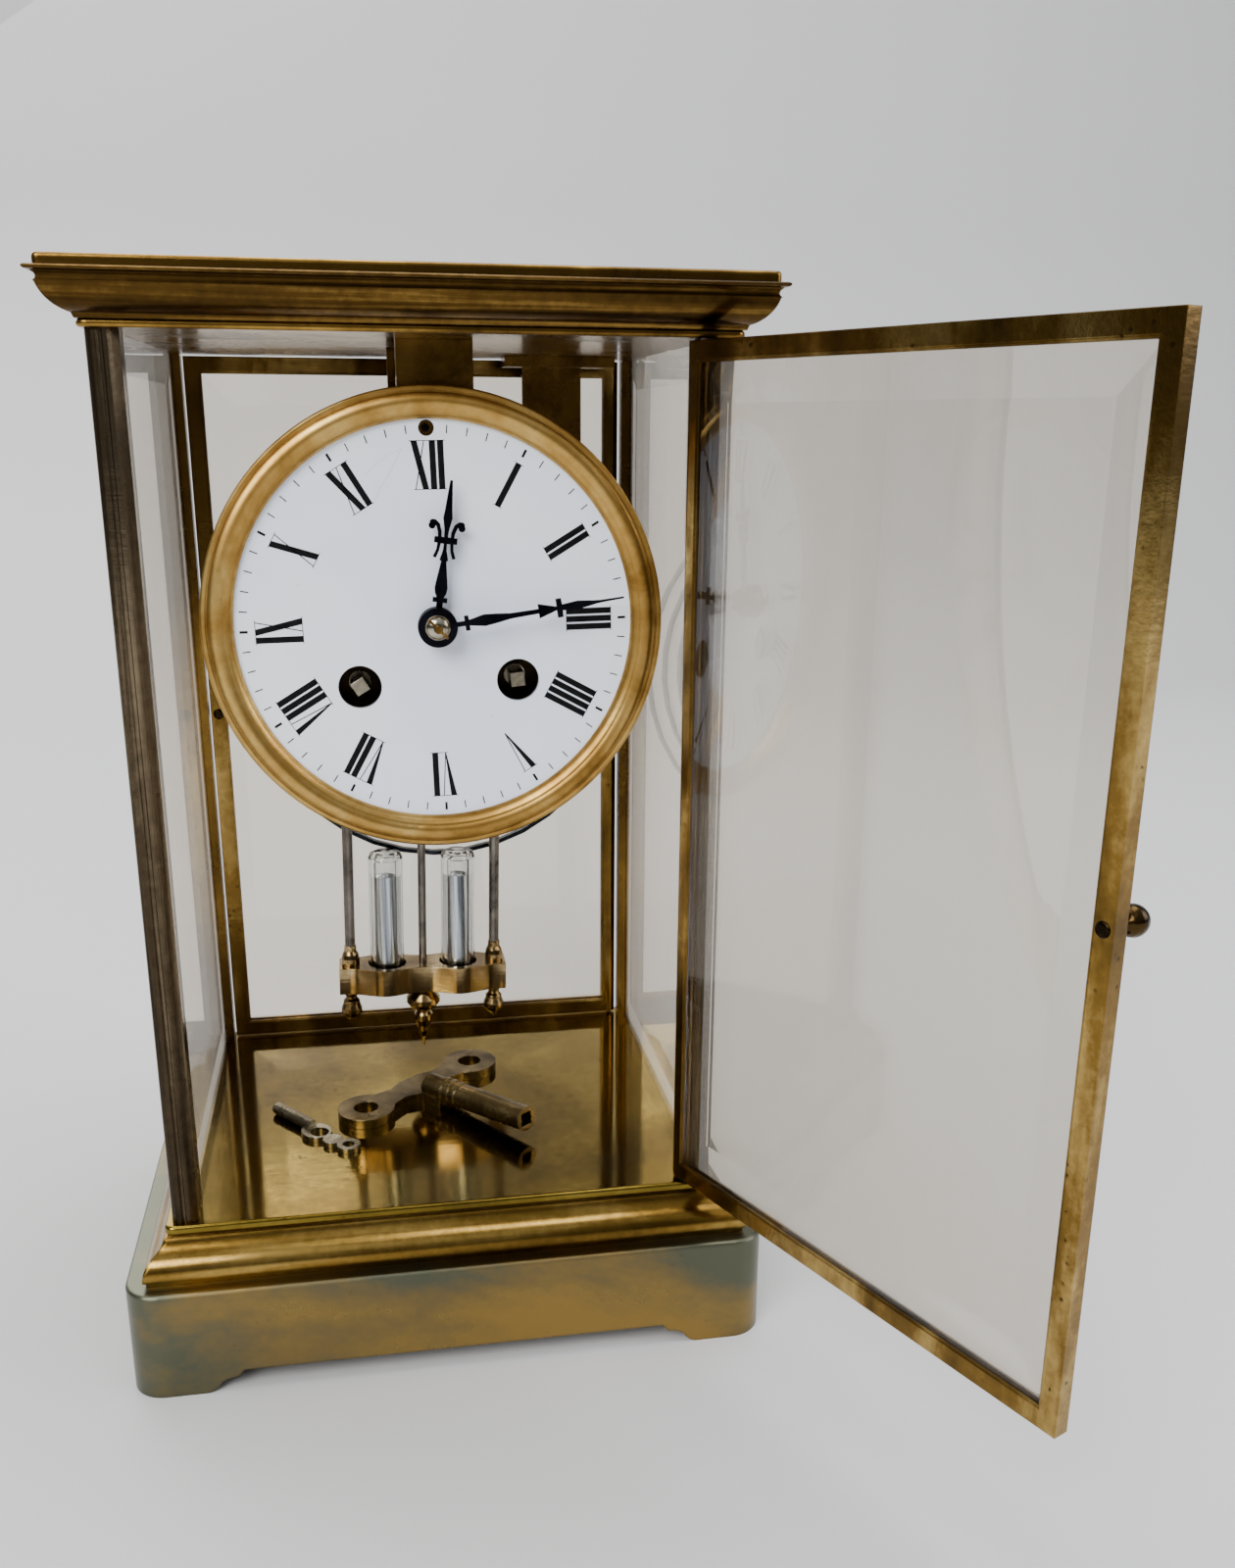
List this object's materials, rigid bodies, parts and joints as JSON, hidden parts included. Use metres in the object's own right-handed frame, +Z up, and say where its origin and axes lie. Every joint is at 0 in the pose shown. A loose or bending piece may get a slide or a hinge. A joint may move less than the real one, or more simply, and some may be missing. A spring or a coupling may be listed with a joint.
{
  "type": "mantel clock",
  "caption": "Brass four-glass mantel clock with hinged bevelled doors, enamel dial, mercury-vial pendulum, coiled gong and loose winding keys.",
  "frame": {"origin": "on the table at the middle of the front right foot's flat; the middle of the base is at x -72, y +69.9 mm", "axes": "+X to the right of the dial, +Y to the back, +Z up; the dial faces -Y"},
  "size_m": [0.213, 0.248, 0.28],
  "materials": {
    "case_brass": "tarnished gilt brass, polished then dulled",
    "plinth_brass": "brass with grey green patina",
    "door_brass": "bright gilt brass, pitted",
    "glass": "clear bevelled glass",
    "gilt": "satin gilt",
    "enamel": "white vitreous enamel",
    "blued_steel": "blued steel",
    "movement_brass": "planished brass",
    "steel": "grey steel",
    "mercury": "liquid silver",
    "key_brass": "dull worn brass",
    "key_steel": "worn steel",
    "dark_knob": "darkened brass"
  },
  "bodies": {
    "case": {"plinth": "plinth_brass", "base_moulding": "case_brass", "floor_plate": "case_brass", "pillar_front_left": "case_brass", "pillar_front_right": "case_brass", "pillar_rear_left": "case_brass", "pillar_rear_right": "case_brass", "side_glass_left": "glass", "side_glass_right": "glass", "ceiling_plate": "case_brass", "cornice": "case_brass", "top_plate": "case_brass", "case_screws": "steel", "door_pivot_pins": "steel", "movement_hanger_front": "movement_brass", "movement_hanger_rear": "movement_brass", "suspension_cock": "movement_brass", "hanger_screws": "steel", "bezel": "gilt", "dial": "enamel", "dial_plate": "movement_brass", "front_plate": "movement_brass", "back_plate": "movement_brass", "plate_pillars": "movement_brass", "gong_bracket": "movement_brass", "gong_coil": "blued_steel"},
    "front_door": {"front_door_frame": "door_brass", "front_door_glass": "glass", "front_door_knob": "dark_knob"},
    "rear_door": {"rear_door_frame": "door_brass", "rear_door_glass": "glass", "rear_door_knob": "dark_knob"},
    "minute": {"cannon_pinion": "movement_brass", "minute_hand": "blued_steel", "hand_washer": "movement_brass"},
    "hour": {"hour_wheel": "movement_brass", "hour_hand": "blued_steel"},
    "motion": {"minute_wheel": "movement_brass"},
    "centre": {"centre_arbor": "movement_brass"},
    "going_drum": {"going_barrel": "movement_brass"},
    "going_wind": {"going_arbor": "steel"},
    "third": {"third_wheel": "movement_brass"},
    "escape": {"escape_wheel": "movement_brass"},
    "anchor": {"pallets": "steel", "crutch": "steel"},
    "strike_drum": {"strike_barrel": "movement_brass"},
    "strike_wind": {"strike_arbor": "steel"},
    "pin_wheel": {"strike_wheel": "movement_brass"},
    "hammer": {"hammer": "steel"},
    "regulator": {"regulator_arbor": "steel"},
    "pendulum": {"suspension_spring": "steel", "pendulum_yoke": "gilt", "pendulum_rods": "steel", "pendulum_bracket": "gilt", "vials": "glass", "mercury_columns": "mercury", "pendulum_finials": "gilt", "rating_nut": "gilt"},
    "winding_key": {"winding_key": "key_brass"},
    "regulator_key": {"regulator_key": "key_steel"}
  },
  "joints": [
    {"name": "front_door_hinge", "type": "hinge", "parent": "case", "child": "front_door", "pos_m": [-0.0083, 0.0114, 0.155], "axis": [0, 0, 1], "range_deg": [-115, 4]},
    {"name": "rear_door_hinge", "type": "hinge", "parent": "case", "child": "rear_door", "pos_m": [-0.0083, 0.1284, 0.155], "axis": [0, 0, 1], "range_deg": [-115, 0]},
    {"name": "minute_spin", "type": "hinge", "parent": "case", "child": "minute", "pos_m": [-0.0704, 0.0249, 0.1982], "axis": [0, 1, 0], "continuous": true},
    {"name": "hour_spin", "type": "hinge", "parent": "case", "child": "hour", "pos_m": [-0.0704, 0.0279, 0.1982], "axis": [0, 1, 0], "continuous": true},
    {"name": "motion_spin", "type": "hinge", "parent": "case", "child": "motion", "pos_m": [-0.07689, 0.0319, 0.20888], "axis": [0, 1, 0], "continuous": true},
    {"name": "third_spin", "type": "hinge", "parent": "case", "child": "third", "pos_m": [-0.07821, 0.0599, 0.21171], "axis": [0, 1, 0], "continuous": true},
    {"name": "centre_spin", "type": "hinge", "parent": "case", "child": "centre", "pos_m": [-0.0704, 0.0599, 0.1982], "axis": [0, 1, 0], "continuous": true},
    {"name": "escape_spin", "type": "hinge", "parent": "case", "child": "escape", "pos_m": [-0.07097, 0.0619, 0.22312], "axis": [0, 1, 0], "continuous": true},
    {"name": "going_drum_spin", "type": "hinge", "parent": "case", "child": "going_drum", "pos_m": [-0.05012, 0.0519, 0.18376], "axis": [0, 1, 0], "continuous": true},
    {"name": "going_wind_spin", "type": "hinge", "parent": "case", "child": "going_wind", "pos_m": [-0.05012, 0.0399, 0.18376], "axis": [0, 1, 0], "continuous": true},
    {"name": "strike_drum_spin", "type": "hinge", "parent": "case", "child": "strike_drum", "pos_m": [-0.09001, 0.0519, 0.18285], "axis": [0, 1, 0], "continuous": true},
    {"name": "strike_wind_spin", "type": "hinge", "parent": "case", "child": "strike_wind", "pos_m": [-0.09001, 0.0399, 0.18285], "axis": [0, 1, 0], "continuous": true},
    {"name": "pin_wheel_spin", "type": "hinge", "parent": "case", "child": "pin_wheel", "pos_m": [-0.09491, 0.0649, 0.20725], "axis": [0, 1, 0], "continuous": true},
    {"name": "regulator_spin", "type": "hinge", "parent": "case", "child": "regulator", "pos_m": [-0.07147, 0.0599, 0.24544], "axis": [0, 1, 0], "continuous": true},
    {"name": "hammer_pivot", "type": "hinge", "parent": "case", "child": "hammer", "pos_m": [-0.10784, 0.0799, 0.21735], "axis": [0, -1, 0], "range_deg": [0, 15], "stiffness_Nm_per_rad": 0.02},
    {"name": "pendulum_swing", "type": "hinge", "parent": "case", "child": "pendulum", "pos_m": [-0.07122, 0.0967, 0.23439], "axis": [0, 1, 0], "range_deg": [-4.3, 1.7]},
    {"name": "anchor_rock", "type": "hinge", "parent": "case", "child": "anchor", "pos_m": [-0.07122, 0.0967, 0.23439], "axis": [0, 1, 0], "range_deg": [-4.3, 1.7]},
    {"name": "winding_key_slide", "type": "slide", "parent": "case", "child": "winding_key", "axis": [1, 0, 0], "range_m": [0, 0.015]},
    {"name": "regulator_key_slide", "type": "slide", "parent": "case", "child": "regulator_key", "axis": [0, -1, 0], "range_m": [0, 0.015]}
  ],
  "couplings": [
    {"joint": "hour_spin", "follows": "minute_spin", "ratio": 0.083333},
    {"joint": "motion_spin", "follows": "minute_spin", "ratio": -0.33333},
    {"joint": "centre_spin", "follows": "third_spin", "ratio": -0.083333},
    {"joint": "escape_spin", "follows": "third_spin", "ratio": -12},
    {"joint": "going_drum_spin", "follows": "third_spin", "ratio": 0.013889},
    {"joint": "pin_wheel_spin", "follows": "strike_drum_spin", "ratio": -6},
    {"joint": "anchor_rock", "follows": "pendulum_swing", "ratio": 1}
  ]
}
